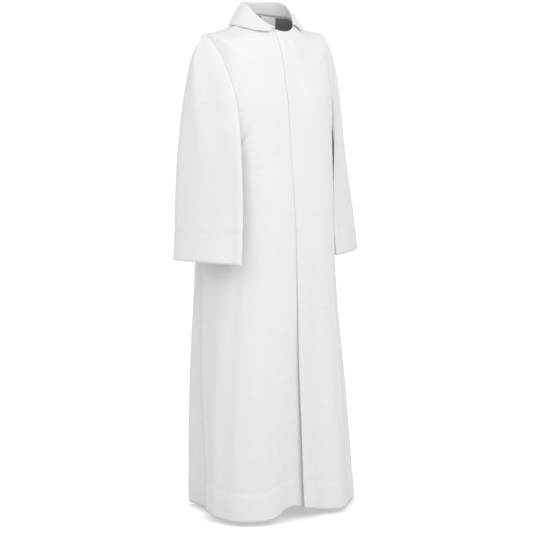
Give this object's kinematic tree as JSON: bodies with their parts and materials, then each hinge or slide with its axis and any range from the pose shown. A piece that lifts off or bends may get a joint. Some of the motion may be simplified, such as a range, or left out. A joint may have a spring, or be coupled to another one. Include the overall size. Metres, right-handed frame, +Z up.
{
  "type": "alb robe, worn and hollow, with no wearer",
  "caption": "Long white worn robe, hollow: lapped fronts with an open front pleat, side pleats, wide straight sleeves and a turn-down collar.",
  "frame": {"origin": "middle of the neck base, where the robe rests on the wearer's neck and shoulders", "axes": "+Z up, the wearer faces -Y, the wearer's left is +X"},
  "size_m": [0.6699, 0.3779, 1.48],
  "materials": {
    "white_cloth": "matt slubbed plain weave",
    "label_tape": "matt woven tape"
  },
  "bodies": {
    "root": {"front_right": "white_cloth", "front_left": "white_cloth", "back": "white_cloth", "side_gore_right": "white_cloth", "side_gore_left": "white_cloth", "sleeve_right": "white_cloth", "sleeve_left": "white_cloth", "collar": "white_cloth", "neck_label": "label_tape"}
  },
  "joints": []
}
